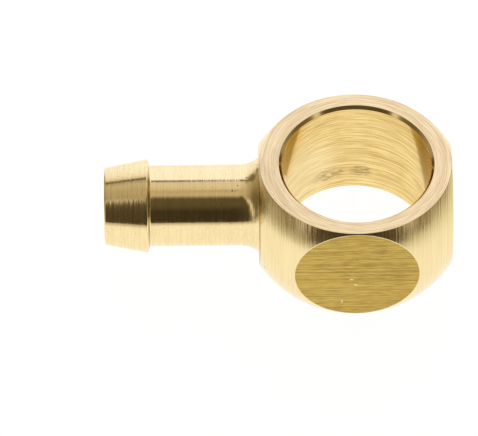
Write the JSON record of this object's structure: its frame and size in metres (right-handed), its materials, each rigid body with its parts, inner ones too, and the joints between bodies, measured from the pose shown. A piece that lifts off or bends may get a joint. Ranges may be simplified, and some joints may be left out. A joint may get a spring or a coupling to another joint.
{
  "type": "banjo fitting",
  "caption": "Brass banjo fitting: a barrel-shaped ring that a hollow bolt clamps through its bore, with a drilled, barbed hose tail on one side and flats on the front and the back.",
  "frame": {"origin": "where the axis of the bolt's bore crosses the axis of the tail, at the middle of the ring's height", "axes": "+Z along the axis of the bolt's bore; the tail lies along X and points to -X; the flats face -Y and +Y"},
  "size_m": [0.0328, 0.0176, 0.0116],
  "materials": {
    "brass": "bright turned brass, with drawn bar flats that are a little duller"
  },
  "bodies": {
    "root": {"banjo_body": "brass"}
  },
  "joints": []
}
